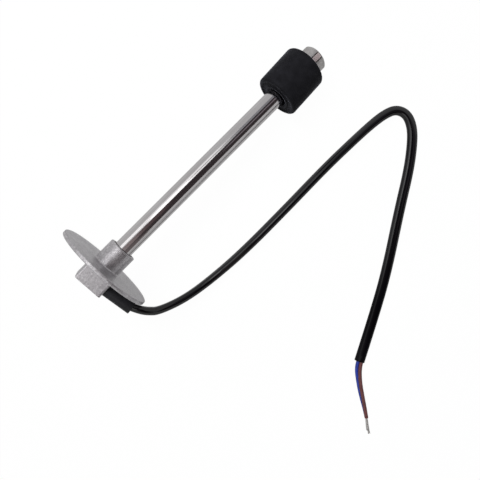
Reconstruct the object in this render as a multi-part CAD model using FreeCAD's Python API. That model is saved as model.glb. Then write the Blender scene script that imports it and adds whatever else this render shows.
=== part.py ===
import FreeCAD, Part
import math
import os

Vec = FreeCAD.Vector

# Fuel sending unit with a vertical stem, in millimetres and degrees.
# It is modelled as it lies on a table: on the rim of its flange and the rim of its float.
# Everything on the stem is first made in the stem's own frame: +X runs down the stem, away
# from the flange, and the zero is on the stem's axis at the flange's seating face.

# Head casting: flange disc, stem boss and terminal block
flange_diameter = 68.0
flange_thickness = 2.5
flange_edge_radius = 0.6
boss_diameter = 19.0
boss_height = 15.0
boss_edge_radius = 0.6
boss_root_radius = 1.2
block_width = 20.6
block_depth = 16.0
block_height = 14.5
block_edge_radius = 1.6
block_corner_radius = 1.3
block_roll = 15.0
block_wall = 2.4
pocket_corner_radius = 1.5
pocket_floor = 2.5
wire_passage_diameter = 9.0
potting_recess = 0.6

# Stem
stem_diameter = 12.7
stem_wall = 0.8
stem_reach = 200.0
stem_socket_floor = 1.0
end_plug_thickness = 3.0
end_plug_edge = 0.4

# Seal ring in the boss's mouth
seal_thickness = 1.1
seal_depth = 1.4
seal_recess = 0.3

# Stop collar at the stem's tip
collar_diameter = 18.0
collar_length = 9.2
collar_edge_radius = 1.0
collar_inner_edge_radius = 0.3
collar_gap_width = 4.7
collar_slit = 0.5
collar_gap_turn = 10.0

# Float and its magnet
float_diameter = 31.8
float_length = 30.0
float_bore = 14.4
float_edge_radius = 1.5
float_bore_edge_radius = 0.4
float_lip = 2.2
float_lip_edge_radius = 0.2
float_groove_width = 3.4
float_groove_depth = 0.6
float_cock = 2.6
float_stop_gap = 0.3
magnet_diameter = 26.0
magnet_bore = 18.0
magnet_thickness = 6.0

# Sensor board inside the stem
board_width = 8.0
board_thickness = 1.0
board_end_gap = 4.0
insulation_wall = 0.3
reed_count = 7
reed_pitch = 21.0
reed_first = 24.0
reed_diameter = 2.0
reed_length = 12.0
reed_lead_diameter = 0.5
reed_lead_length = 2.0
resistor_length = 3.2
resistor_width = 1.6
resistor_height = 0.6
lead_diameter = 1.0
lead_spacing = 3.2
lead_overlap = 5.0
inner_wire_diameter = 1.6
splice_diameter = 2.8
splice_length = 7.0

# Cable and its rubber sleeve
cable_diameter = 6.2
core_diameter = 2.2
strand_diameter = 1.3
sleeve_diameter = 7.6
sleeve_reach = 31.2
sleeve_root = 6.4
sleeve_from_flange = 10.9
sleeve_lean = 8.0
sleeve_drop = 8.0
cable_root = 5.4
wire_bend_radius = 2.6

# Clearances: between glued or pressed round pieces, and around poured compound
fit_gap = 0.05
pour_gap = 0.02

# How far a cutting shape stands out of the face that it cuts through
cut_overshoot = 1.0

# Share of a cable's straight run that the arc at its end takes up
arc_share = 0.45

# Route of the cable after the straight stretch out of its sleeve, on the table's frame
cable_straight = 5.5
cable_points = [
    (-94.4, -40.5, 26.3), (-86.0, -47.1, 18.0), (-72.0, -51.6, 8.3), (-52.0, -54.9, 3.15),
    (-22.0, -57.4, 3.15), (20.0, -58.2, 3.15), (60.0, -57.7, 3.15), (86.0, -58.8, 3.15),
    (104.5, -59.7, 3.15), (116.7, -61.1, 3.15), (124.4, -65.5, 3.15), (127.8, -73.8, 3.15),
    (124.4, -83.1, 3.15), (115.8, -91.8, 3.15), (100.3, -102.4, 3.15), (76.3, -116.7, 3.15),
    (36.5, -141.6, 3.15), (6.6, -157.9, 3.15), (-21.2, -171.6, 3.15)]
blue_points = [
    (-21.7, -170.5, 3.15), (-27.8, -174.0, 2.6), (-34.4, -182.2, 1.5), (-40.9, -192.4, 1.15),
    (-47.0, -202.5, 1.15)]
brown_points = [
    (-20.7, -172.7, 3.15), (-26.2, -176.0, 3.2), (-32.6, -183.3, 3.2), (-39.9, -193.9, 3.35),
    (-47.0, -204.1, 3.4)]
blue_tip = (-54.6, -212.2, 0.8)
brown_tip = (-54.5, -215.1, 0.9)

# Places along the stem that follow from the sizes
stem_radius = stem_diameter / 2
flange_radius = flange_diameter / 2
float_radius = float_diameter / 2
collar_radius = collar_diameter / 2
block_end = -(flange_thickness + block_height)
pocket_end = -(flange_thickness + pocket_floor)
plug_neck = stem_reach - end_plug_thickness
collar_start = stem_reach - collar_length
float_lead = float_stop_gap + collar_radius * math.sin(math.radians(float_cock))
float_end = collar_start - float_lead
float_middle = float_end - float_length / 2
float_start = float_end - float_length
stem_bore_radius = stem_radius - stem_wall
insulation_radius = stem_bore_radius - fit_gap
board_start = stem_socket_floor + lead_overlap
board_end = plug_neck - end_plug_thickness - board_end_gap
board_top = board_thickness / 2
splice_middle = pocket_end + splice_length / 2

# Directions: out of the block's cable side, out of its top flat, along the sleeve, from one
# wire to the other and across the board
roll = math.radians(block_roll)
cable_side = Vec(0, -math.cos(roll), -math.sin(roll))
top_side = Vec(0, -math.sin(roll), math.cos(roll))
lean = math.radians(sleeve_lean)
drop = math.radians(sleeve_drop)
sleeve_direction = Vec(math.sin(lean), -math.cos(lean) * math.cos(drop), -math.cos(lean) * math.sin(drop))
wire_side = sleeve_direction.cross(Vec(1, 0, 0)).normalize()
board_across = wire_side.cross(Vec(1, 0, 0))
sleeve_foot = Vec(-(flange_thickness + sleeve_from_flange), 0, 0)
sleeve_mouth = sleeve_foot + sleeve_direction * sleeve_reach


def rounded_wire(points, radii, closed=False):
    """Straight runs through the points, with each corner rounded by a tangent arc."""
    count = len(points)
    starts = list(points)
    ends = list(points)
    arcs = [None] * count
    for i in range(count):
        corner_has_two_runs = closed or 0 < i < count - 1
        if not corner_has_two_runs or radii[i] <= 0:
            continue
        back = (points[i - 1] - points[i]).normalize()
        ahead = (points[(i + 1) % count] - points[i]).normalize()
        half_turn = (math.pi - back.getAngle(ahead)) / 2
        reach = radii[i] * math.tan(half_turn)
        starts[i] = points[i] + back * reach
        ends[i] = points[i] + ahead * reach
        middle = (back + ahead).normalize() * (radii[i] / math.cos(half_turn) - radii[i])
        arcs[i] = Part.Arc(starts[i], points[i] + middle, ends[i]).toShape()
    edges = []
    for i in range(count if closed else count - 1):
        if arcs[i]:
            edges.append(arcs[i])
        following = (i + 1) % count
        if (starts[following] - ends[i]).Length > 1e-6:
            edges.append(Part.LineSegment(ends[i], starts[following]).toShape())
    return Part.Wire(edges)


def turned(outline):
    """A solid turned about the stem's axis from (place along it, radius, corner radius) rows."""
    points = [Vec(x, 0, radius) for x, radius, corner in outline]
    wire = rounded_wire(points, [corner for x, radius, corner in outline], closed=True)
    return Part.Face(wire).revolve(Vec(0, 0, 0), Vec(1, 0, 0), 360)


def rod(start, end, diameter):
    """A round rod between two points."""
    return Part.makeCylinder(diameter / 2, (end - start).Length, start, end - start)


def ring(start, end, outer_radius, inner_radius):
    """A plain ring about the stem's axis."""
    return turned([(start, inner_radius, 0), (end, inner_radius, 0),
                   (end, outer_radius, 0), (start, outer_radius, 0)])


def rolled_bar(start, end, width, depth, corner_radius):
    """A bar along the stem's axis, turned with the terminal block, its long edges rounded."""
    corners = [(-1, -1), (1, -1), (1, 1), (-1, 1)]
    points = [Vec(start, 0, 0) + cable_side * (width / 2 * across) + top_side * (depth / 2 * up)
              for across, up in corners]
    outline = rounded_wire(points, [corner_radius] * len(points), closed=True)
    return Part.Face(outline).extrude(Vec(end - start, 0, 0))


def swept(points, diameter, label):
    """A round tube along the points, each arc as large as its two runs allow."""
    runs = [(b - a).Length for a, b in zip(points, points[1:])]
    radii = [0.0]
    for i in range(1, len(points) - 1):
        turn = (points[i] - points[i - 1]).getAngle(points[i + 1] - points[i])
        radii.append(arc_share * min(runs[i - 1], runs[i]) / math.tan(turn / 2))
    radii.append(0.0)
    path = rounded_wire(points, radii)
    circle = Part.Wire(Part.makeCircle(diameter / 2, points[0], points[1] - points[0]))
    tube = path.makePipeShell([circle], True, False)
    expected = math.pi * diameter ** 2 / 4 * path.Length
    print(label, "length", round(path.Length, 1), "radii", [round(r, 1) for r in radii[1:-1]],
          "volume over section times length", round(tube.Volume / expected, 4))
    return tube


def block_shape():
    """The terminal block, with its rear edge opposite the cable rounded."""
    block = rolled_bar(block_end, -flange_thickness / 2, block_width, block_depth, block_edge_radius)
    corner = Vec(block_end, 0, 0) - cable_side * (block_width / 2) - top_side * block_depth
    along = Vec(block_corner_radius, 0, 0)
    across = cable_side * block_corner_radius
    up = top_side * (2 * block_depth)
    square = Part.Face(Part.makePolygon([corner, corner + along, corner + along + across,
                                         corner + across, corner])).extrude(up)
    keep = rod(corner + along + across, corner + along + across + up, 2 * block_corner_radius)
    return block.cut(square.cut(keep))


def sleeve_slot():
    """The slot that the sleeve lies in, round at its floor and open at the block's rear end."""
    start = sleeve_foot + sleeve_direction * sleeve_root
    end = sleeve_foot + sleeve_direction * block_width
    width = sleeve_diameter + 2 * fit_gap
    rearward = (sleeve_direction * math.sin(lean) - Vec(1, 0, 0)).normalize()
    half = sleeve_direction.cross(rearward) * (width / 2)
    mid_plane = Part.makePolygon([start - half, end - half, end + half, start + half, start - half])
    return rod(start, end, width).fuse(Part.Face(mid_plane).extrude(rearward * block_height))


def head_casting():
    disc = turned([(0, 0, 0), (0, flange_radius, flange_edge_radius),
                   (-flange_thickness, flange_radius, flange_edge_radius), (-flange_thickness, 0, 0)])
    half_boss = boss_diameter / 2
    boss = turned([(-flange_thickness / 2, 0, 0), (boss_height, 0, 0),
                   (boss_height, half_boss, boss_edge_radius), (0, half_boss, boss_root_radius),
                   (0, half_boss + 2 * boss_root_radius, 0),
                   (-flange_thickness / 2, half_boss + 2 * boss_root_radius, 0)])
    body = disc.fuse([boss, block_shape()]).removeSplitter()
    socket = turned([(stem_socket_floor, 0, 0), (stem_socket_floor, stem_radius + fit_gap, 0),
                     (boss_height - seal_depth, stem_radius + fit_gap, 0),
                     (boss_height - seal_depth, stem_radius + seal_thickness + fit_gap, 0),
                     (boss_height + cut_overshoot, stem_radius + seal_thickness + fit_gap, 0),
                     (boss_height + cut_overshoot, 0, 0)])
    passage = rod(Vec(block_end, 0, 0), Vec(boss_height, 0, 0), wire_passage_diameter)
    pocket = rolled_bar(block_end - cut_overshoot, pocket_end, block_width - 2 * block_wall,
                        block_depth - 2 * block_wall, pocket_corner_radius)
    return body.cut([socket, passage, pocket, sleeve_slot()])


def wire_path(side, start, end_x):
    """From the cable's inner end along the sleeve, round a bend, then along the stem's axis."""
    shift = wire_side * (side * lead_spacing / 2)
    points = [sleeve_foot + sleeve_direction * start + shift,
              sleeve_foot + shift,
              Vec(end_x, 0, 0) + shift]
    return rounded_wire(points, [0, wire_bend_radius, 0])


def wire(side, diameter):
    start = cable_root - fit_gap
    path = wire_path(side, start, splice_middle)
    begin = sleeve_foot + sleeve_direction * start + wire_side * (side * lead_spacing / 2)
    circle = Part.Wire(Part.makeCircle(diameter / 2, begin, sleeve_direction))
    return path.makePipeShell([circle], True, False)


def inner_wires(extra=0.0):
    """The two cores inside the head, from the cable's inner end to the splices."""
    wires = [wire(side, inner_wire_diameter + extra) for side in (-1, 1)]
    return Part.makeCompound(wires)


def splice_sleeves():
    """Shrink sleeves over the joints of the cores and the board's leads."""
    solids = []
    bore = inner_wire_diameter + 2 * fit_gap
    for side in (-1, 1):
        shift = wire_side * (side * lead_spacing / 2)
        start = Vec(pocket_end, 0, 0) + shift
        end = Vec(pocket_end + splice_length, 0, 0) + shift
        solids.append(rod(start, end, splice_diameter).cut(rod(start, end, bore)))
    return Part.makeCompound(solids)


def board_leads():
    """Two leads from the splices, straight to the splices' ends and then down to the board's faces."""
    solids = []
    pad_height = board_top + lead_diameter / 2 + fit_gap
    for side in (-1, 1):
        shift = wire_side * (side * lead_spacing / 2)
        points = [Vec(splice_middle + fit_gap, 0, 0) + shift,
                  Vec(pocket_end + splice_length, 0, 0) + shift,
                  Vec(board_start, 0, 0) + wire_side * (side * pad_height),
                  Vec(board_start + lead_overlap, 0, 0) + wire_side * (side * pad_height)]
        path = rounded_wire(points, [0, lead_diameter, lead_diameter, 0])
        circle = Part.Wire(Part.makeCircle(lead_diameter / 2, points[0], Vec(1, 0, 0)))
        solids.append(path.makePipeShell([circle], True, False))
    return Part.makeCompound(solids)


def board_bar(start, end, across, low, high):
    """A box on the board: across the board, and up towards the reed switches."""
    points = [(-1, low), (1, low), (1, high), (-1, high)]
    corners = [Vec(start, 0, 0) + board_across * (across / 2 * s) + wire_side * up for s, up in points]
    face = Part.Face(Part.makePolygon(corners + [corners[0]]))
    return face.extrude(Vec(end - start, 0, 0))


def sensor_board():
    return board_bar(board_start, board_end, board_width, -board_top, board_top)


def reed_switches():
    """Glass reed switches along the board's top, each with bent-down leads."""
    solids = []
    height = board_top + reed_diameter / 2 + fit_gap
    for i in range(reed_count):
        middle = Vec(reed_first + i * reed_pitch, 0, 0) + wire_side * height
        half = Vec(reed_length / 2, 0, 0)
        arm = Vec(reed_length / 2 + reed_lead_length, 0, 0)
        glass = rod(middle - half, middle + half, reed_diameter)
        lead = rod(middle - arm, middle + arm, reed_lead_diameter)
        feet = [rod(middle + arm * s, middle + arm * s - wire_side * (height - board_top), reed_lead_diameter)
                for s in (-1, 1)]
        solids.append(glass.fuse([lead] + feet).removeSplitter())
    return Part.makeCompound(solids)


def resistors():
    """Chip resistors under the board, one beside each reed switch."""
    solids = []
    for i in range(reed_count):
        start = reed_first + i * reed_pitch - resistor_length / 2
        solids.append(board_bar(start, start + resistor_length, resistor_width,
                                -board_top - resistor_height, -board_top))
    return Part.makeCompound(solids)


def insulating_sleeve():
    return ring(stem_socket_floor + fit_gap, board_end, insulation_radius, insulation_radius - insulation_wall)


def cable_sleeve():
    start = sleeve_foot + sleeve_direction * sleeve_root
    bore = rod(start, sleeve_mouth, cable_diameter + 2 * fit_gap)
    return rod(start, sleeve_mouth, sleeve_diameter).cut(bore)


def cable_stub():
    """The cable's straight stretch inside the sleeve and the pocket."""
    return rod(sleeve_foot + sleeve_direction * cable_root, sleeve_mouth, cable_diameter)


def potting_compound():
    """The compound poured into the block's pocket, round the wires and the cable's root."""
    inset = 2 * (block_wall + pour_gap)
    fill = rolled_bar(block_end + potting_recess, pocket_end - pour_gap, block_width - inset,
                      block_depth - inset, pocket_corner_radius)
    sleeve = rod(sleeve_foot + sleeve_direction * sleeve_root, sleeve_mouth, sleeve_diameter + pour_gap)
    stub = rod(sleeve_foot + sleeve_direction * cable_root, sleeve_mouth, cable_diameter + pour_gap)
    return fill.cut([sleeve, stub, inner_wires(2 * pour_gap)])


def stem_tube():
    return ring(stem_socket_floor, plug_neck, stem_radius, stem_bore_radius)


def stem_end_plug():
    """A plug with a shoulder that closes the stem's tip."""
    inner_end = plug_neck - end_plug_thickness
    return turned([(inner_end, 0, 0), (stem_reach, 0, 0),
                   (stem_reach, stem_radius, end_plug_edge), (plug_neck, stem_radius, 0),
                   (plug_neck, stem_bore_radius - fit_gap, 0),
                   (inner_end, stem_bore_radius - fit_gap, end_plug_edge)])


def seal_ring():
    start = boss_height - seal_depth + fit_gap
    end = boss_height - seal_recess
    return ring(start, end, stem_radius + seal_thickness, stem_radius + fit_gap)


def collar_ring():
    return turned([(collar_start, stem_radius + fit_gap, 0), (stem_reach, stem_radius + fit_gap, 0),
                   (stem_reach, collar_radius, collar_edge_radius),
                   (collar_start, collar_radius, collar_inner_edge_radius)])


def collar_bar(width):
    """A bar out of the collar's gap, as wide as asked, to cut the ring with."""
    corner = Vec(collar_start - cut_overshoot, -width / 2, 0)
    bar = Part.makeBox(collar_length + 2 * cut_overshoot, width, collar_diameter, corner)
    bar.rotate(Vec(0, 0, 0), Vec(1, 0, 0), collar_gap_turn)
    return bar


def stop_collar():
    return collar_ring().cut(collar_bar(collar_gap_width))


def collar_key():
    return collar_ring().common(collar_bar(collar_gap_width - 2 * collar_slit))


def float_outline():
    """Half of the float's section: its bore, a lip round the bore, a shallow groove and the rims."""
    lip_radius = float_bore / 2 + float_lip
    groove_end = lip_radius + float_groove_width
    low = float_start + float_groove_depth
    high = float_end - float_groove_depth
    bore_edge = float_bore_edge_radius
    lip_edge = float_lip_edge_radius
    return [(float_start, float_bore / 2, bore_edge), (float_end, float_bore / 2, bore_edge),
            (float_end, lip_radius, lip_edge), (high, lip_radius, 0), (high, groove_end, 0),
            (float_end, groove_end, lip_edge), (float_end, float_radius, float_edge_radius),
            (float_start, float_radius, float_edge_radius), (float_start, groove_end, lip_edge),
            (low, groove_end, 0), (low, lip_radius, 0), (float_start, lip_radius, lip_edge)]


def cocked(shape):
    """Turns the float on the stem by the slack in its bore."""
    turned_shape = shape.copy()
    turned_shape.rotate(Vec(float_middle, 0, 0), Vec(0, 0, 1), float_cock)
    return turned_shape


def magnet_ring(extra):
    half = magnet_thickness / 2 + extra
    return ring(float_middle - half, float_middle + half,
                magnet_diameter / 2 + extra, magnet_bore / 2 - extra)


def float_body():
    return cocked(turned(float_outline()).cut(magnet_ring(fit_gap)))


def float_magnet():
    return cocked(magnet_ring(0.0))


def lying_tilt():
    """The stem's slope when the flange's rim and the float's rim both touch the table."""
    rise = flange_radius - flange_edge_radius - float_radius + float_edge_radius
    run = float_end - float_edge_radius + flange_edge_radius
    difference = float_edge_radius - flange_edge_radius
    return math.acos(difference / math.hypot(rise, run)) - math.atan2(run, rise)


def lying_placement(shapes):
    """Lays the stem's frame on the table, with the zero under the middle of the object's box."""
    tilt = lying_tilt()
    turn = FreeCAD.Rotation(Vec(0, 1, 0), math.degrees(tilt))
    everything = Part.makeCompound(shapes)
    everything.Placement = FreeCAD.Placement(Vec(0, 0, 0), turn)
    box = everything.optimalBoundingBox(False)
    middle = Vec(-(box.XMin + box.XMax) / 2, 0, -box.ZMin)
    return FreeCAD.Placement(middle, turn)


def save(shape, name):
    shape.exportStep("parts/" + name + ".step")


os.makedirs("parts", exist_ok=True)

on_stem = {
    "head_casting": head_casting(),
    "potting_compound": potting_compound(),
    "seal_ring": seal_ring(),
    "stem_tube": stem_tube(),
    "stem_end_plug": stem_end_plug(),
    "stop_collar": stop_collar(),
    "collar_key": collar_key(),
    "float_body": float_body(),
    "float_magnet": float_magnet(),
    "sensor_board": sensor_board(),
    "reed_switches": reed_switches(),
    "resistors": resistors(),
    "board_leads": board_leads(),
    "insulating_sleeve": insulating_sleeve(),
    "inner_wires": inner_wires(),
    "splice_sleeves": splice_sleeves(),
    "cable_sleeve": cable_sleeve(),
}
lying = lying_placement(list(on_stem.values()))
for name, shape in on_stem.items():
    shape.Placement = lying.multiply(shape.Placement)
    save(shape, name)

mouth = lying.multVec(sleeve_mouth)
direction = lying.Rotation.multVec(sleeve_direction)
cable_route = [mouth, mouth + direction * cable_straight] + [Vec(*p) for p in cable_points]
stub = cable_stub()
stub.Placement = lying
save(swept(cable_route, cable_diameter, "cable").fuse(stub).removeSplitter(), "cable_jacket")
for colour, points, tip in (("blue", blue_points, blue_tip), ("brown", brown_points, brown_tip)):
    route = [Vec(*p) for p in points]
    save(swept(route, core_diameter, colour + " core"), colour + "_core")
    save(rod(route[-1], Vec(*tip), strand_diameter), colour + "_strands")

print("tilt", round(math.degrees(lying_tilt()), 4))
print("seating face centre", lying.multVec(Vec(0, 0, 0)))
print("sleeve mouth", mouth, "direction", direction)
print("stem direction", lying.Rotation.multVec(Vec(1, 0, 0)))
print("float travel", round(float_start - boss_height, 3))
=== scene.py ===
import math
import random

import bmesh
import bpy
from mathutils import Matrix, Vector


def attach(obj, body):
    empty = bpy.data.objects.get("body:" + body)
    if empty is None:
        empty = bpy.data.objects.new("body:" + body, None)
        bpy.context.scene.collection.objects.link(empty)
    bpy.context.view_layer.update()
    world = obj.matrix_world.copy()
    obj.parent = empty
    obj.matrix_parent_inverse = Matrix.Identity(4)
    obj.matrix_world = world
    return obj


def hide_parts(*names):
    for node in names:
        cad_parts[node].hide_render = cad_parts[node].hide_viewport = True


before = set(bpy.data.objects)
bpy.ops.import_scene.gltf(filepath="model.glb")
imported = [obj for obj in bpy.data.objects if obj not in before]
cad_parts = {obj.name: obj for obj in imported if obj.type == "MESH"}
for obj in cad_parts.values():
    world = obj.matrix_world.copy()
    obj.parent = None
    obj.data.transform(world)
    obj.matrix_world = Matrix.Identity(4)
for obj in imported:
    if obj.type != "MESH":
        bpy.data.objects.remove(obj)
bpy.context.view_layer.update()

print("frame loaded")

# Lengths are metres and angles are degrees. The stem lies on the table with a slope.
stem = {
    "tilt": 5.4636,
    "seat": (-0.0909898, 0, 0.0337911),  # middle of the flange's seating face
    "radius": 0.00635,
    "bore": 0.00555,
    "foot": 0.001,       # from here, along the stem from the seat
    "neck": 0.197,       # to here
    "steps": 160,
}
stemTilt = math.radians(stem["tilt"])
stemToTable = Matrix.Translation(stem["seat"]) @ Matrix.Rotation(stemTilt, 4, "Y")


def addObject(name, data):
    made = bpy.data.objects.new(name, data)
    bpy.context.scene.collection.objects.link(made)
    return made


# Camera: straight above, as the photograph was taken
cameraView = {
    "place": (-0.01892, -0.05042, 0.32029),
    "turn": 45.95,
    "lens": 33.15,       # millimetres, as the sensor's width
    "sensor": 36,
    "clipStart": 0.01,
}


def placeCamera():
    data = bpy.data.cameras.new("camera")
    data.lens = cameraView["lens"]
    data.sensor_width = cameraView["sensor"]
    data.clip_start = cameraView["clipStart"]
    camera = addObject("camera", data)
    camera.location = cameraView["place"]
    camera.rotation_euler = (0, 0, -math.radians(cameraView["turn"]))
    bpy.context.scene.camera = camera


placeCamera()
print("camera placed")


# Node materials. In the dictionaries a noise is its scale, detail and roughness, a relief is the
# strength and distance of a bump, and a pair gives the two ends between which a noise varies.

def newMaterial(name, colour, metallic, roughness):
    # The colour and roughness hold until nodes feed them
    material = bpy.data.materials.new(name)
    material.use_nodes = True
    setShader(material, {"Base Color": (*colour, 1), "Metallic": metallic, "Roughness": roughness})
    return material


def shaderOf(material):
    return material.node_tree.nodes["Principled BSDF"]


def setShader(material, values):
    for name, value in values.items():
        shaderOf(material).inputs[name].default_value = value


def addNode(material, kind, **values):
    node = material.node_tree.nodes.new(kind)
    for key, value in values.items():
        setattr(node, key, value)
    return node


def link(material, output, target):
    material.node_tree.links.new(output, target)


def feed(material, name, output):
    link(material, output, shaderOf(material).inputs[name])


def objectPlace(material):
    return addNode(material, "ShaderNodeTexCoord").outputs["Object"]


def stemPlace(material, stretch):
    # Coordinates along and across the stem, divided by stretch
    mapping = addNode(material, "ShaderNodeMapping", vector_type="TEXTURE")
    mapping.inputs["Location"].default_value = stem["seat"]
    mapping.inputs["Rotation"].default_value = (0, stemTilt, 0)
    mapping.inputs["Scale"].default_value = stretch
    link(material, objectPlace(material), mapping.inputs["Vector"])
    return mapping.outputs["Vector"]


def secondOf(material, vector):
    parts = addNode(material, "ShaderNodeSeparateXYZ")
    link(material, vector, parts.inputs["Vector"])
    return parts.outputs["Y"]


def noise(material, place, scale, detail=3.0, roughness=0.5):
    node = addNode(material, "ShaderNodeTexNoise")
    node.inputs["Scale"].default_value = scale
    node.inputs["Detail"].default_value = detail
    node.inputs["Roughness"].default_value = roughness
    link(material, place, node.inputs["Vector"])
    return node.outputs["Fac"]


def ramp(material, value, low, high, start=0.3, end=0.7):
    # Spreads a value between two greys or two colours
    node = addNode(material, "ShaderNodeValToRGB")
    first, last = node.color_ramp.elements
    first.position, last.position = start, end
    first.color = (*low, 1) if isinstance(low, tuple) else (low, low, low, 1)
    last.color = (*high, 1) if isinstance(high, tuple) else (high, high, high, 1)
    link(material, value, node.inputs["Fac"])
    return node.outputs["Color"]


def ranged(material, value, start, end, low, high):
    # Takes a value between start and end to one between low and high
    node = addNode(material, "ShaderNodeMapRange")
    for name, number in (("From Min", start), ("From Max", end), ("To Min", low), ("To Max", high)):
        node.inputs[name].default_value = number
    link(material, value, node.inputs["Value"])
    return node.outputs["Result"]


def bump(material, heights, strength, distance):
    # heights: outputs that are stacked one on another
    normal = None
    for height in heights:
        node = addNode(material, "ShaderNodeBump")
        node.inputs["Strength"].default_value = strength
        node.inputs["Distance"].default_value = distance
        link(material, height, node.inputs["Height"])
        if normal:
            link(material, normal, node.inputs["Normal"])
        normal = node.outputs["Normal"]
    feed(material, "Normal", normal)


def mixed(material, share, first, second):
    # Two colours mixed by a share; each is an output or a fixed colour
    node = addNode(material, "ShaderNodeMix", data_type="RGBA")
    link(material, share, node.inputs["Factor"])
    for value, target in ((first, node.inputs["A"]), (second, node.inputs["B"])):
        if isinstance(value, tuple):
            target.default_value = (*value, 1)
        else:
            link(material, value, target)
    return node.outputs["Result"]


casting = {
    "metallic": 0.92,
    "clouds": (150, 5, 0.6),
    "speckle": (850, 4, 0.7),
    "grain": (2200, 2),
    "marks": (170, 5, 0.7),
    "markStretch": (1, 0.35, 1),
    "grey": ((0.43, 0.415, 0.43), (0.57, 0.555, 0.575)),
    "darkSpeck": (0.24, 0.225, 0.235),
    "darkShare": (0, 0.5, 0.53, 0.64),       # from and to which share, between which noise values
    "brightSpeck": (0.80, 0.78, 0.79),
    "brightShare": (0.55, 0, 0.36, 0.46),
    "rubbed": (0.25, 0.235, 0.25),
    "rubbedShare": (0, 0.35, 0.62, 0.74),
    "roughness": (0.32, 0.44),
    "relief": (0.45, 0.00012),
}


def blastedAluminium():
    # Grainy casting: cloudy greys, fine speckle and a few darker rubbed marks
    c = casting
    material = newMaterial("blastedAluminium", (0.50, 0.48, 0.50), c["metallic"], 0.38)
    place = objectPlace(material)
    clouds = noise(material, place, *c["clouds"])
    speckle = noise(material, place, *c["speckle"])
    grain = noise(material, place, *c["grain"])
    stretched = addNode(material, "ShaderNodeMapping")
    stretched.inputs["Scale"].default_value = c["markStretch"]
    link(material, place, stretched.inputs["Vector"])
    marks = noise(material, stretched.outputs["Vector"], *c["marks"])
    colour = ramp(material, clouds, *c["grey"])
    for values, share, tint in ((speckle, c["darkShare"], c["darkSpeck"]),
                                (speckle, c["brightShare"], c["brightSpeck"]),
                                (marks, c["rubbedShare"], c["rubbed"])):
        colour = mixed(material, ramp(material, values, *share), colour, tint)
    feed(material, "Base Color", colour)
    feed(material, "Roughness", ramp(material, grain, *c["roughness"]))
    bump(material, [speckle, grain], *c["relief"])
    return material


polish = {
    "steel": ((0.56, 0.54, 0.545), (0.62, 0.605, 0.61)),
    "smudges": (90, 3),
    "lines": (1, 2),
    "lineStretch": (0.05, 0.00035, 0.00035),
    "roughness": (0.09, 0.14),
    "relief": (0.02, 0.00003),
}


def polishedSteel():
    p = polish
    material = newMaterial("polishedSteel", (0.60, 0.58, 0.58), 1.0, 0.09)
    lines = noise(material, stemPlace(material, p["lineStretch"]), *p["lines"])
    smudges = noise(material, objectPlace(material), *p["smudges"])
    feed(material, "Base Color", ramp(material, smudges, *p["steel"]))
    feed(material, "Roughness", ramp(material, lines, *p["roughness"]))
    bump(material, [lines], *p["relief"])
    return material


turning = {
    "metallic": 0.9,
    "clouds": (320, 2),
    "lines": (1, 3),
    "lineStretch": (0.00016, 0.02, 0.02),
    "roughness": (0.30, 0.48),
    "relief": (0.12, 0.00004),
}


def satinSteel(name, low, high):
    # Turned steel with fine lines round the stem's line
    t = turning
    material = newMaterial(name, high, t["metallic"], 0.4)
    lines = noise(material, stemPlace(material, t["lineStretch"]), *t["lines"])
    clouds = noise(material, objectPlace(material), *t["clouds"])
    feed(material, "Base Color", ramp(material, clouds, low, high))
    feed(material, "Roughness", ramp(material, lines, *t["roughness"]))
    bump(material, [lines], *t["relief"])
    return material


foam = {
    # The blue in this black and in the sheen's tint is a painted reflection of bluish light
    "black": ((0.0078, 0.0078, 0.0092), (0.0136, 0.0136, 0.0162)),
    "cellScale": 2100,
    "clouds": (160, 3),
    "grain": (1500, 4, 0.6),
    "roughness": (0.5, 0.7),
    "specular": 0.04,
    "sheen": 0.42,
    "sheenRoughness": 0.24,
    "paintedBlueSheenTint": (0.8, 0.82, 1.0, 1),
    "relief": (0.3, 0.00007),
}


def nitrileFoam():
    f = foam
    material = newMaterial("nitrileFoam", (0.006, 0.006, 0.007), 0.0, 0.6)
    place = objectPlace(material)
    cells = addNode(material, "ShaderNodeTexVoronoi")
    cells.inputs["Scale"].default_value = f["cellScale"]
    link(material, place, cells.inputs["Vector"])
    clouds = noise(material, place, *f["clouds"])
    grain = noise(material, place, *f["grain"])
    # Black foam; its blue cast here and in the sheen's tint is a painted reflection
    feed(material, "Base Color", ramp(material, clouds, *f["black"]))
    feed(material, "Roughness", ramp(material, grain, *f["roughness"]))
    setShader(material, {"Specular IOR Level": f["specular"], "Sheen Weight": f["sheen"],
                         "Sheen Roughness": f["sheenRoughness"], "Sheen Tint": f["paintedBlueSheenTint"]})
    bump(material, [grain, cells.outputs["Distance"]], *f["relief"])
    return material


rubber = {
    "clouds": (120, 3),
    "darker": 0.75,      # times the colour, at the two ends of the clouds
    "lighter": 1.35,
    "grainDetail": 3,
    "specular": 0.3,
    "depth": 0.00005,
}


def softBlack(name, colour, low, high, grainScale, strength):
    # Rubber, resin or shrink sleeve, with a roughness between low and high
    material = newMaterial(name, colour, 0.0, (low + high) / 2)
    place = objectPlace(material)
    grain = noise(material, place, grainScale, rubber["grainDetail"])
    clouds = noise(material, place, *rubber["clouds"])
    darker = tuple(rubber["darker"] * value for value in colour)
    lighter = tuple(rubber["lighter"] * value for value in colour)
    feed(material, "Base Color", ramp(material, clouds, darker, lighter))
    feed(material, "Roughness", ramp(material, grain, low, high))
    setShader(material, {"Specular IOR Level": rubber["specular"]})
    bump(material, [grain], strength, rubber["depth"])
    return material


jacket = {
    # The jacket is black; the blue in this black is a painted reflection of bluish light
    "black": ((0.0012, 0.0011, 0.0017), (0.0025, 0.0023, 0.0035)),
    "clouds": (60, 2),
    "smears": (220, 3),
    "grain": (700, 3),
    "roughness": (0.035, 0.08),
    # Two shares of the length, and the values at them
    "handled": (0.35, 1.0, 0.0, 0.12),   # what adds to the roughness
    "worn": (0.80, 0.90, 0.5, 0.12),     # specular level
    "relief": (0.05, 0.00005),
}


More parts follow.
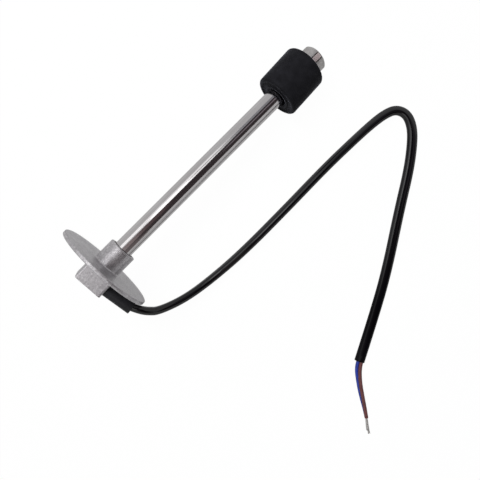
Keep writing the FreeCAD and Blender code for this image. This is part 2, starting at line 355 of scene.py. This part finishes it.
def jacketPlastic():
    # Glossy near the head and duller towards the cut end, where it was handled
    j = jacket
    material = newMaterial("jacketPlastic", (0.008, 0.008, 0.0095), 0.0, 0.25)
    place = objectPlace(material)
    along = secondOf(material, addNode(material, "ShaderNodeUVMap", uv_map="along").outputs["UV"])
    total = addNode(material, "ShaderNodeMath", operation="ADD")
    smears = noise(material, place, *j["smears"])
    link(material, ramp(material, smears, *j["roughness"]), total.inputs[0])
    link(material, ranged(material, along, *j["handled"]), total.inputs[1])
    feed(material, "Roughness", total.outputs["Value"])
    feed(material, "Specular IOR Level", ranged(material, along, *j["worn"]))
    # Black with a blue cast that is a painted reflection
    feed(material, "Base Color", ramp(material, noise(material, place, *j["clouds"]), *j["black"]))
    bump(material, [noise(material, place, *j["grain"])], *j["relief"])
    return material


insulation = {
    "clouds": (260, 3),
    "smears": (900, 2),
    "grain": (1200, 2),
    "roughness": (0.3, 0.5),
    "relief": (0.1, 0.00003),
}


def coreInsulation(name, dark, light):
    i = insulation
    material = newMaterial(name, light, 0.0, 0.4)
    place = objectPlace(material)
    feed(material, "Base Color", ramp(material, noise(material, place, *i["clouds"]), dark, light))
    feed(material, "Roughness", ramp(material, noise(material, place, *i["smears"]), *i["roughness"]))
    bump(material, [noise(material, place, *i["grain"])], *i["relief"])
    return material


tinning = {
    "tin": ((0.50, 0.48, 0.46), (0.80, 0.79, 0.77)),
    "dull": (1400, 3),
    "roughness": (0.5, 0.25),
    "relief": (0.15, 0.00003),
}


def tinnedCopper():
    t = tinning
    material = newMaterial("tinnedCopper", (0.62, 0.6, 0.57), 1.0, 0.34)
    dull = noise(material, objectPlace(material), *t["dull"])
    feed(material, "Base Color", ramp(material, dull, *t["tin"]))
    feed(material, "Roughness", ramp(material, dull, *t["roughness"]))
    bump(material, [dull], *t["relief"])
    return material


inside = {
    "clouds": (500, 2),
    "smears": (1500, 2),
}


def plainInside(name, dark, light, metallic=0.0, low=0.35, high=0.55):
    # For the pieces that lie inside, with a roughness between low and high
    material = newMaterial(name, light, metallic, low)
    place = objectPlace(material)
    feed(material, "Base Color", ramp(material, noise(material, place, *inside["clouds"]), dark, light))
    feed(material, "Roughness", ramp(material, noise(material, place, *inside["smears"]), low, high))
    return material


finishes = {
    "aluminium": blastedAluminium(),
    "polished": polishedSteel(),
    "collar": satinSteel("satinSteel", (0.42, 0.405, 0.40), (0.54, 0.525, 0.52)),
    # The insert is steel like the collar; its warm pink tint and extra brightness are a painted
    # reflection
    "insert": satinSteel("satinSteelPaintedReflection", (0.80, 0.68, 0.67), (0.90, 0.79, 0.78)),
    "foam": nitrileFoam(),
    # The seal's grey is lightened to lift the shade in the gap at the boss's mouth: painted light
    "seal": softBlack("sealRubberPaintedLight", (0.20, 0.18, 0.18), 0.45, 0.65, 1200, 0.2),
    "sleeve": softBlack("sleeveRubber", (0.0065, 0.0065, 0.0085), 0.42, 0.6, 1000, 0.25),
    "resin": softBlack("castResin", (0.012, 0.012, 0.014), 0.12, 0.3, 160, 0.3),
    "jacket": jacketPlastic(),
    "blue": coreInsulation("blueInsulation", (0.008, 0.022, 0.20), (0.014, 0.04, 0.34)),
    "brown": coreInsulation("brownInsulation", (0.075, 0.021, 0.021), (0.125, 0.037, 0.036)),
    "tinned": tinnedCopper(),
    "plug": satinSteel("plugSteel", (0.42, 0.405, 0.40), (0.54, 0.525, 0.52)),
    "ferrite": plainInside("ferrite", (0.05, 0.05, 0.05), (0.09, 0.09, 0.09), 0.4, 0.4, 0.6),
    "laminate": plainInside("laminate", (0.015, 0.11, 0.04), (0.02, 0.16, 0.06)),
    "glass": plainInside("reedGlass", (0.35, 0.5, 0.4), (0.45, 0.6, 0.5), 0.0, 0.05, 0.12),
    "ceramic": plainInside("chipCeramic", (0.03, 0.03, 0.035), (0.06, 0.06, 0.07)),
    "brass": plainInside("leadBrass", (0.5, 0.36, 0.2), (0.62, 0.47, 0.28), 1.0, 0.3, 0.45),
    "film": plainInside("polyesterFilm", (0.5, 0.47, 0.38), (0.6, 0.57, 0.48)),
    "wires": plainInside("innerWires", (0.07, 0.04, 0.05), (0.12, 0.06, 0.07)),
    "shrink": softBlack("shrinkSleeve", (0.015, 0.015, 0.015), 0.4, 0.6, 900, 0.2),
}
print("materials made")


# Building and placing pieces
meshing = {
    "sharpAngle": 35,
    "nodeSharpAngle": 30,
    "spinMerge": 1e-7,   # points nearer than this become one
    "nodeMerge": 2e-6,
}


def newPiece(name, mesh, finish, body, replaced):
    mesh.materials.clear()
    mesh.materials.append(finishes[finish])
    piece = addObject(name, mesh)
    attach(piece, body)
    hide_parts(*replaced)
    return piece


def finishMesh(bm, name, sharpAngle=meshing["sharpAngle"]):
    # Smooth faces, with the edges that fold more than the angle kept sharp
    for face in bm.faces:
        face.smooth = True
    for edge in bm.edges:
        folded = len(edge.link_faces) == 2 and edge.calc_face_angle(0) > math.radians(sharpAngle)
        edge.smooth = not folded
    mesh = bpy.data.meshes.new(name)
    bm.to_mesh(mesh)
    bm.free()
    return mesh


def turnedShape(rows, steps, segments=4, first=0, sweep=360):
    # rows: (place along the stem, radius, corner radius), a closed outline round its section.
    # It is turned through the sweep, in degrees, from the first angle; a part turn gets flat ends.
    bm = bmesh.new()
    corners = [bm.verts.new((x, 0, radius)) for x, radius, corner in rows]
    bm.faces.new(corners)
    for size in sorted(set(corner for x, radius, corner in rows if corner > 0)):
        sized = [vert for vert, row in zip(corners, rows) if row[2] == size]
        bmesh.ops.bevel(bm, geom=sized, offset=size, offset_type="OFFSET", affect="VERTICES",
                        segments=segments, profile=0.5, material=-1)
    bmesh.ops.delete(bm, geom=bm.faces[:], context="FACES_ONLY")
    bmesh.ops.rotate(bm, cent=(0, 0, 0), matrix=Matrix.Rotation(math.radians(first), 3, "X"),
                     verts=bm.verts[:])
    bmesh.ops.spin(bm, geom=bm.verts[:] + bm.edges[:], axis=(1, 0, 0), cent=(0, 0, 0),
                   angle=math.radians(sweep), steps=steps, use_merge=sweep == 360, use_duplicate=False)
    bmesh.ops.remove_doubles(bm, verts=bm.verts[:], dist=meshing["spinMerge"])
    if sweep < 360:
        bmesh.ops.holes_fill(bm, edges=[edge for edge in bm.edges if edge.is_boundary])
    bmesh.ops.recalc_face_normals(bm, faces=bm.faces[:])
    return bm


def mergedCopy(node, name, finish, body):
    # A CAD node's own shape, merged so that its curved faces shade smoothly
    bm = bmesh.new()
    bm.from_mesh(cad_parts[node].data)
    bmesh.ops.remove_doubles(bm, verts=bm.verts[:], dist=meshing["nodeMerge"])
    mesh = finishMesh(bm, name, meshing["nodeSharpAngle"])
    return newPiece(name, mesh, finish, body, [node])


# Stem: a polished tube. The cast head keeps the shape of its CAD node.

def buildStem():
    rows = [(stem["foot"], stem["bore"], 0), (stem["neck"], stem["bore"], 0),
            (stem["neck"], stem["radius"], 0), (stem["foot"], stem["radius"], 0)]
    bm = turnedShape(rows, stem["steps"])
    bmesh.ops.transform(bm, matrix=stemToTable, verts=bm.verts[:])
    newPiece("polishedStem", finishMesh(bm, "polishedStem"), "polished", "sender",
             ["stem_tube"])


buildStem()
mergedCopy("head_casting", "castHead", "aluminium", "sender")
print("head and stem built")


# Collar: a split ring with a bar in its gap, which leaves a dark line on each side. A closed rim
# with a chamfer ends it.
collar = {
    "start": 0.1908,
    "end": 0.2,
    "radius": 0.0093,
    "bore": 0.00637,
    "rim": 0.0010,
    "chamfer": 0.0009,
    "innerEdge": 0.0003,
    "innerSegments": 5,
    "turn": 14.65,       # of the middle of the gap, from upwards
    "gap": 29.8,
    "insert": 20.8,
    "insertDrop": 0.00005,
    "steps": 150,
    "insertSteps": 14,
}


def joinMesh(bm, other):
    mesh = bpy.data.meshes.new("joined")
    other.to_mesh(mesh)
    other.free()
    bm.from_mesh(mesh)
    bpy.data.meshes.remove(mesh)


def collarSector(radius, first, sweep, steps):
    # The part before the rim, turned through the sweep
    c = collar
    rimStart = c["end"] - c["rim"]
    rows = [(c["start"], c["bore"], 0), (rimStart, c["bore"], 0), (rimStart, radius, 0),
            (c["start"], radius, c["innerEdge"])]
    return turnedShape(rows, steps, c["innerSegments"], first, sweep)


def collarRim():
    c = collar
    rimStart = c["end"] - c["rim"]
    rows = [(rimStart, c["bore"], 0), (c["end"], c["bore"], 0),
            (c["end"], c["radius"], c["chamfer"]), (rimStart, c["radius"], 0)]
    return turnedShape(rows, c["steps"], 1)


def buildCollar():
    c = collar
    split = collarSector(c["radius"], c["turn"] + c["gap"] / 2, 360 - c["gap"], c["steps"])
    joinMesh(split, collarRim())
    insert = collarSector(c["radius"] - c["insertDrop"], c["turn"] - c["insert"] / 2, c["insert"],
                          c["insertSteps"])
    for name, bm, finish, slot, node in (
            ("splitCollar", split, "collar", "collar_stainless", "stop_collar"),
            ("collarInsert", insert, "insert", "collar_insert", "collar_key")):
        bmesh.ops.transform(bm, matrix=stemToTable, verts=bm.verts[:])
        newPiece(name, finishMesh(bm, name), finish, "sender", [node])


buildCollar()
print("collar built")


# Float: a moulded foam cylinder with a lip round its bore, cocked on the stem by its slack
floatShape = {
    "start": 0.160092,
    "end": 0.190092,
    "radius": 0.0159,
    "bore": 0.0072,
    "lip": 0.0022,
    "groove": 0.0034,
    "grooveDepth": 0.0004,
    "edge": 0.0015,
    "boreEdge": 0.0004,
    "lipEdge": 0.0003,
    "grooveEdge": 0.0002,
    "cock": 2.6,         # degrees
    "sharpAngle": 40,
    "steps": 128,
}


def buildFloat():
    s = floatShape
    lipRadius = s["bore"] + s["lip"]
    grooveEnd = lipRadius + s["groove"]
    low = s["start"] + s["grooveDepth"]
    high = s["end"] - s["grooveDepth"]
    lipEdge, grooveEdge = s["lipEdge"], s["grooveEdge"]
    rows = [(s["start"], s["bore"], s["boreEdge"]), (s["end"], s["bore"], s["boreEdge"]),
            (s["end"], lipRadius, lipEdge), (high, lipRadius, grooveEdge),
            (high, grooveEnd, grooveEdge), (s["end"], grooveEnd, lipEdge),
            (s["end"], s["radius"], s["edge"]), (s["start"], s["radius"], s["edge"]),
            (s["start"], grooveEnd, lipEdge), (low, grooveEnd, grooveEdge),
            (low, lipRadius, grooveEdge), (s["start"], lipRadius, lipEdge)]
    bm = turnedShape(rows, s["steps"])
    middle = Vector(((s["start"] + s["end"]) / 2, 0, 0))
    cocked = (Matrix.Translation(middle) @ Matrix.Rotation(math.radians(s["cock"]), 4, "Z")
              @ Matrix.Translation(-middle))
    bmesh.ops.transform(bm, matrix=stemToTable @ cocked, verts=bm.verts[:])
    newPiece("foamFloat", finishMesh(bm, "foamFloat", s["sharpAngle"]), "foam", "float",
             ["float_body"])


buildFloat()
print("float built")


# Cable: its route's points follow the CAD route, with places and heights set
cable = {
    "mouth": (-0.10041582, -0.03059568, 0.03037315),
    "direction": (0.12541856, -0.98063085, -0.15044376),
    "inSleeve": 0.02,
    "bendStart": 0.003,      # before the mouth, where the sleeve gives way
    "points": [
        (-0.0980, -0.0348, 0.0290), (-0.0959, -0.0391, 0.0255), (-0.0918, -0.0443, 0.0200),
        (-0.0750, -0.0514, 0.0100),
        (-0.0521, -0.0554, 0.0039), (-0.0221, -0.0580, 0.0037), (0.0200, -0.0585, 0.0037),
        (0.0600, -0.0583, 0.0037), (0.0861, -0.0593, 0.0037), (0.1047, -0.0604, 0.0037),
        (0.1172, -0.0621, 0.0037), (0.1260, -0.0656, 0.0036), (0.1292, -0.0737, 0.0034),
        (0.1251, -0.0830, 0.0032), (0.1161, -0.0918, 0.0030), (0.1008, -0.1031, 0.0028),
        (0.0767, -0.1174, 0.0028), (0.0370, -0.1425, 0.0028), (0.0068, -0.1584, 0.0028),
        (-0.0220, -0.1726, 0.0029)],
    "width": 0.0073,
    "thickness": 0.0055,
    "sleeveWidth": 0.0061,   # squeezed to this where the sleeve holds it
    "easeOut": 0.018,        # over which it widens again after the sleeve
    "lean": 28,              # degrees it leans from upright between these shares of the length
    "leanStart": 0.07,
    "leanEnd": 0.30,
    "turnStart": 0.50,       # shares of the length between which it turns flat
    "turnEnd": 0.66,
    "ringSteps": 28,
    "routeSteps": 10,
    "endEdge": 0.0003,
    "sharpAngle": 50,
}
cores = {
    "blue": {
        "points": [(-0.0216, -0.1714, 0.0030), (-0.0263, -0.1740, 0.0019), (-0.0330, -0.1823, 0.0014),
                   (-0.0390, -0.1910, 0.0013), (-0.0443, -0.2002, 0.0013), (-0.0473, -0.2046, 0.0013)],
        "tip": (-0.0545, -0.2128, 0.0011)},
    "brown": {
        "points": [(-0.0198, -0.1732, 0.0031), (-0.0245, -0.1750, 0.0042), (-0.0322, -0.1829, 0.0040),
                   (-0.0382, -0.1912, 0.0039), (-0.0443, -0.1998, 0.0039), (-0.0475, -0.2040, 0.0039)],
        "tip": (-0.0548, -0.2148, 0.0012)},
    "diameter": 0.0026,
    "ringSteps": 20,
    "routeSteps": 14,
    "endEdge": 0.0001,
    "sharpAngle": 50,
}
strandLay = {
    "outer": 6,                # laid round one in the middle
    "radius": 0.00027,
    "turns": 1.3,
    "inCore": 0.001,           # how far they start inside the core
    "shares": (0.86, 1.0),     # of the way to the tip, drawn for each strand
    "spread": (0.9, 1.5),      # how far apart they are at the tip
    "points": 13,
    "routeSteps": 3,
    "ringSteps": 8,
    "sharpAngle": 60,
    "seed": 7,
}


def splinePoints(name, points, resolution):
    # Points read from a smooth NURBS line through the route
    curve = bpy.data.curves.new(name, "CURVE")
    curve.dimensions = "3D"
    spline = curve.splines.new("NURBS")
    spline.points.add(len(points) - 1)
    for point, place in zip(spline.points, points):
        point.co = (*place, 1)
    spline.order_u = 3
    spline.use_endpoint_u = True
    spline.resolution_u = resolution
    holder = addObject(name, curve)
    bpy.context.view_layer.update()
    line = bpy.data.meshes.new_from_object(holder)
    read = [vert.co.copy() for vert in line.vertices]
    bpy.data.objects.remove(holder)
    bpy.data.meshes.remove(line)
    return read


def lengthsAlong(line):
    lengths = [0.0]
    for a, b in zip(line, line[1:]):
        lengths.append(lengths[-1] + (b - a).length)
    return lengths


def smoothStep(value, low, high):
    # From 0 at low to 1 at high, with soft ends
    t = min(max((value - low) / (high - low), 0), 1)
    return t * t * (3 - 2 * t)


def sweptTube(line, section, ringSteps, endEdge=0.0):
    # section(distance, share) gives half width, half thickness and the turn of each ring
    bm = bmesh.new()
    lengths = lengthsAlong(line)
    rings = []
    for i, (place, distance) in enumerate(zip(line, lengths)):
        ahead = line[min(i + 1, len(line) - 1)] - line[max(i - 1, 0)]
        halfWidth, halfThick, turn = section(distance, distance / lengths[-1])
        facing = ahead.normalized()
        side = facing.cross(Vector((0, 0, 1))).normalized()
        up = side.cross(facing)
        facingAhead = Matrix((side, up, facing)).transposed().to_4x4()
        matrix = Matrix.Translation(place) @ facingAhead @ Matrix.Rotation(turn, 4, "Z")
        ring = bmesh.ops.create_circle(bm, cap_ends=False, segments=ringSteps, radius=halfThick,
                                       matrix=Matrix.Identity(4))["verts"]
        for sign in (-1, 1):     # the two halves move apart to make the section flat
            half = [vert for vert in ring if vert.co.x * sign > 1e-9]
            bmesh.ops.translate(bm, verts=half, vec=(sign * (halfWidth - halfThick), 0, 0))
        bmesh.ops.transform(bm, matrix=matrix, verts=ring)
        rings.append(ring)
    for pair in zip(rings, rings[1:]):
        edges = [edge for ring in pair for vert in ring for edge in vert.link_edges
                 if len(edge.link_faces) < 2 and edge.other_vert(vert) in ring]
        bmesh.ops.bridge_loops(bm, edges=list(dict.fromkeys(edges)))
    for ring in (rings[0], rings[-1]):
        rim = [edge for vert in ring for edge in vert.link_edges if edge.is_boundary]
        rim = list(dict.fromkeys(rim))     # each once, in the same order every run
        bmesh.ops.edgeloop_fill(bm, edges=rim)
        if endEdge:
            bmesh.ops.bevel(bm, geom=rim, offset=endEdge, offset_type="OFFSET", affect="EDGES",
                            segments=2, profile=0.5, material=-1)
    bmesh.ops.recalc_face_normals(bm, faces=bm.faces[:])
    return bm


def markAlong(bm, line):
    # A UV map whose second value runs along the cable from 0 to 1
    lengths = lengthsAlong(line)
    layer = bm.loops.layers.uv.new("along")
    for vert in bm.verts:
        nearest = min(range(len(line)), key=lambda i: (line[i] - vert.co).length_squared)
        share = lengths[nearest] / lengths[-1]
        for loop in vert.link_loops:
            loop[layer].uv = (0.5, share)


def cableSection(distance, share):
    c = cable
    out = smoothStep(distance, c["inSleeve"], c["inSleeve"] + c["easeOut"])
    width = c["sleeveWidth"] + (c["width"] - c["sleeveWidth"]) * out
    upright = 90 - c["lean"] * smoothStep(share, c["leanStart"], c["leanEnd"])
    turn = math.radians(upright) * (1 - smoothStep(share, c["turnStart"], c["turnEnd"]))
    return width / 2, c["thickness"] / 2, turn


def roundSection(radius):
    return lambda distance, share: (radius, radius, 0)


def buildCable():
    c = cable
    mouth, direction = Vector(c["mouth"]), Vector(c["direction"])
    route = [mouth - direction * c["inSleeve"], mouth - direction * c["bendStart"]]
    line = splinePoints("cableRoute", route + [Vector(point) for point in c["points"]], c["routeSteps"])
    bm = sweptTube(line, cableSection, c["ringSteps"], c["endEdge"])
    markAlong(bm, line)
    piece = newPiece("flatCable", finishMesh(bm, "flatCable", c["sharpAngle"]), "jacket", "sender",
                     ["cable_jacket"])
    return piece, line


def buildCore(colour):
    c = cores
    name = colour + "Core"
    line = splinePoints(colour + "Route", [Vector(point) for point in c[colour]["points"]],
                        c["routeSteps"])
    bm = sweptTube(line, roundSection(c["diameter"] / 2), c["ringSteps"], c["endEdge"])
    piece = newPiece(name, finishMesh(bm, name, c["sharpAngle"]), colour, "sender",
                     [colour + "_core"])
    return piece, line


def buildStrands(colour, draw):
    # Tinned strands laid round each other, a little loose at the tip
    s = strandLay
    start, tip = Vector(cores[colour]["points"][-1]), Vector(cores[colour]["tip"])
    run = tip - start
    begin = start - run.normalized() * s["inCore"]
    side = run.cross(Vector((0, 0, 1))).normalized()
    up = side.cross(run.normalized())
    whole = bmesh.new()
    for k in range(s["outer"] + 1):
        shortened = draw.uniform(*s["shares"])
        spread = draw.uniform(*s["spread"])
        points = []
        for i in range(s["points"]):
            t = i / (s["points"] - 1) * shortened
            angle = 2 * math.pi * (k / s["outer"] + t * s["turns"])
            reach = 0 if k == s["outer"] else s["radius"] * 2 * (1 + (spread - 1) * t)
            offset = side * (math.cos(angle) * reach) + up * (math.sin(angle) * reach)
            points.append(begin + (tip - begin) * t + offset)
        line = splinePoints("strandRoute", points, s["routeSteps"])
        joinMesh(whole, sweptTube(line, roundSection(s["radius"]), s["ringSteps"]))
    name = colour + "Strands"
    return newPiece(name, finishMesh(whole, name, s["sharpAngle"]), "tinned", "sender",
                    [colour + "_strands"])


draw = random.Random(strandLay["seed"])
cablePiece, cableLine = buildCable()
for colour in ("blue", "brown"):
    core, coreLine = buildCore(colour)
    strands = buildStrands(colour, draw)
print("cable built, length", round(lengthsAlong(cableLine)[-1], 4))


# Rubber sleeve round the cable's root, in metres from its foot in the terminal block
sleeve = {
    "start": 0.0064,
    "reach": 0.0312,
    "footRadius": 0.0037,
    "mouthRadius": 0.0043,
    "bore": 0.00312,
    "mouthBore": 0.0035,
    "flare": 0.006,      # length over which the bore widens
    "edge": 0.0004,
    "mouthEdge": 0.0002,
    "sharpAngle": 40,
    "steps": 64,
}


def buildSleeve():
    s = sleeve
    rows = [(s["start"], s["bore"], 0), (s["reach"] - s["flare"], s["bore"], 0),
            (s["reach"], s["mouthBore"], s["mouthEdge"]),
            (s["reach"], s["mouthRadius"], s["edge"]), (s["start"], s["footRadius"], 0)]
    bm = turnedShape(rows, s["steps"])
    direction = Vector(cable["direction"])
    foot = Vector(cable["mouth"]) - direction * s["reach"]
    aim = direction.to_track_quat("X", "Z").to_matrix().to_4x4()
    bmesh.ops.transform(bm, matrix=Matrix.Translation(foot) @ aim, verts=bm.verts[:])
    newPiece("rubberSleeve", finishMesh(bm, "rubberSleeve", s["sharpAngle"]), "sleeve", "sender",
             ["cable_sleeve"])


buildSleeve()
print("sleeve built")


# CAD nodes that keep their own shape
nodeFinishes = {
    "potting_compound": "resin", "seal_ring": "seal", "stem_end_plug": "plug",
    "float_magnet": "ferrite", "sensor_board": "laminate", "reed_switches": "glass",
    "resistors": "ceramic", "board_leads": "brass", "insulating_sleeve": "film",
    "inner_wires": "wires", "splice_sleeves": "shrink",
}
for node, finish in nodeFinishes.items():
    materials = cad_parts[node].data.materials
    materials.clear()
    materials.append(finishes[finish])
print("CAD nodes finished")


# Studio: a white table, a soft lamp over the far side of the stem and, in reflections only, the
# lamp's own face and the dark room above
studio = {
    "tableSize": 6.0,
    "tableShadow": 0.03,           # share of the lit paper that the camera sees
    "tableWhite": 1.01,            # the rest, plain white
    "tablePaper": 0.57,
    # Painted light: in reflections the paper is a glow, brighter on the far side under the lamp
    "tablePaintedLightInGloss": (0.46, 0.70),  # its level in reflections on the near and far side
    "tableFade": 0.15,             # how far from the middle each side is
    "worldLight": 0.22,
    "worldInGloss": 0.62,
    "keyPlace": (0.02, 0.46, 0.92),
    "keySize": (0.42, 0.62),
    "keyPower": 11.0,
    "fillPlace": (0.2, -0.9, 0.9),
    "fillSize": (0.9, 0.6),
    "fillPower": 1.2,
}
# Each card: place, size, colour
reflectedCards = {
    "lampFace": ((0.09, 0.25, 0.86), (0.14, 0.36), (2.7, 2.7, 2.7)),
    "lampFade": ((0.215, 0.115, 0.86), (0.11, 0.08), (2.3, 2.3, 2.3)),
    "lampEdge": ((0.16, 0.62, 0.85), (0.32, 0.44), (1.3, 1.3, 1.3)),
    "lampHead": ((-0.25, 0.45, 0.85), (0.50, 0.54), (1.5, 1.5, 1.5)),
    "lampBlock": ((-0.36, -0.18, 0.85), (0.40, 0.72), (1.37, 1.37, 1.37)),
    "dimHead": ((-0.125, -0.21, 0.85), (0.07, 0.58), (0.34, 0.32, 0.32)),
    "dimNeck": ((-0.06, -0.2275, 0.85), (0.06, 0.545), (0.32, 0.26, 0.26)),
    "darkNeck": ((0.02, -0.23, 0.85), (0.10, 0.54), (0.115, 0.08, 0.083)),
    "darkLow": ((0.005, -1.14, 0.85), (0.13, 1.28), (0.05, 0.04, 0.042)),
    "darkHead": ((-0.325, -1.85, 0.85), (0.53, 2.70), (0.18, 0.155, 0.155)),
    "darkRoom": ((0.47, -0.88, 0.85), (0.80, 1.80), (0.045, 0.036, 0.038)),
    "darkTip": ((0.62, 0.22, 0.85), (0.60, 0.40), (0.30, 0.30, 0.32)),
    "roomBeam": ((0.58, -0.34, 0.84), (0.56, 0.20), (0.25, 0.22, 0.24)),
}


def bareMaterial(name):
    material = bpy.data.materials.new(name)
    material.use_nodes = True
    material.node_tree.nodes.clear()
    output = addNode(material, "ShaderNodeOutputMaterial")
    return material, output.inputs["Surface"]


def mixedShaders(material, share, first, second):
    node = addNode(material, "ShaderNodeMixShader")
    link(material, share, node.inputs["Fac"])
    link(material, first, node.inputs[1])
    link(material, second, node.inputs[2])
    return node.outputs["Shader"]


def buildTable():
    bm = bmesh.new()
    bmesh.ops.create_grid(bm, x_segments=1, y_segments=1, size=studio["tableSize"] / 2)
    table = addObject("table", finishMesh(bm, "table"))
    # Plain paper to the light, nearly white to the camera, and in reflections a glow with painted lamp
    # light, brighter on the lamp's side
    material, surface = bareMaterial("tablePaper")
    path = addNode(material, "ShaderNodeLightPath")
    paper = addNode(material, "ShaderNodeBsdfDiffuse")
    paper.inputs["Color"].default_value = (*[studio["tablePaper"]] * 3, 1)
    # Painted light in reflections: the lit paper as a glow, graded from the near side to the brighter
    # far side
    paintedPaperLight = addNode(material, "ShaderNodeEmission")
    across = secondOf(material, objectPlace(material))
    level = ranged(material, across, -studio["tableFade"], studio["tableFade"], *studio["tablePaintedLightInGloss"])
    link(material, level, paintedPaperLight.inputs["Strength"])
    lit = mixedShaders(material, path.outputs["Is Glossy Ray"], paper.outputs["BSDF"],
                       paintedPaperLight.outputs["Emission"])
    white = addNode(material, "ShaderNodeEmission")
    white.inputs["Strength"].default_value = studio["tableWhite"]
    share = addNode(material, "ShaderNodeMath", operation="MULTIPLY")
    share.inputs[1].default_value = 1 - studio["tableShadow"]
    link(material, path.outputs["Is Camera Ray"], share.inputs[0])
    link(material, mixedShaders(material, share.outputs["Value"], lit, white.outputs["Emission"]),
         surface)
    table.data.materials.append(material)


def buildWorld():
    # White to the camera, dimmer in reflections and dimmest as light
    world = bpy.data.worlds.new("studio")
    bpy.context.scene.world = world
    world.use_nodes = True
    path = addNode(world, "ShaderNodeLightPath")
    inGloss = ranged(world, path.outputs["Is Glossy Ray"], 0, 1, studio["worldLight"],
                     studio["worldInGloss"])
    seen = ranged(world, path.outputs["Is Camera Ray"], 0, 1, 0, 1)
    link(world, inGloss, seen.node.inputs["To Min"])
    background = world.node_tree.nodes["Background"]
    background.inputs["Color"].default_value = (1, 1, 1, 1)
    link(world, seen, background.inputs["Strength"])


def addLamp(name, place, size, power):
    data = bpy.data.lights.new(name, "AREA")
    data.shape = "RECTANGLE"
    data.size, data.size_y = size
    data.energy = power
    lamp = addObject(name, data)
    lamp.location = place
    lamp.rotation_euler = (-Vector(place)).to_track_quat("-Z", "Y").to_euler()
    lamp.visible_glossy = False


def buildCard(name, place, size, colour):
    bm = bmesh.new()
    bmesh.ops.create_grid(bm, x_segments=1, y_segments=1, size=0.5)
    bmesh.ops.scale(bm, vec=(*size, 1), verts=bm.verts[:])
    bmesh.ops.translate(bm, vec=place, verts=bm.verts[:])
    card = addObject(name, finishMesh(bm, name))
    material, surface = bareMaterial(name)
    glow = addNode(material, "ShaderNodeEmission")
    glow.inputs["Color"].default_value = (*colour, 1)
    link(material, glow.outputs["Emission"], surface)
    card.data.materials.append(material)
    for ray in ("camera", "diffuse", "shadow", "transmission"):
        setattr(card, "visible_" + ray, False)


buildTable()
buildWorld()
addLamp("keyLamp", studio["keyPlace"], studio["keySize"], studio["keyPower"])
addLamp("fillLamp", studio["fillPlace"], studio["fillSize"], studio["fillPower"])
for name, values in reflectedCards.items():
    buildCard(name, *values)
bpy.context.scene.view_settings.view_transform = "Standard"
print("studio built")
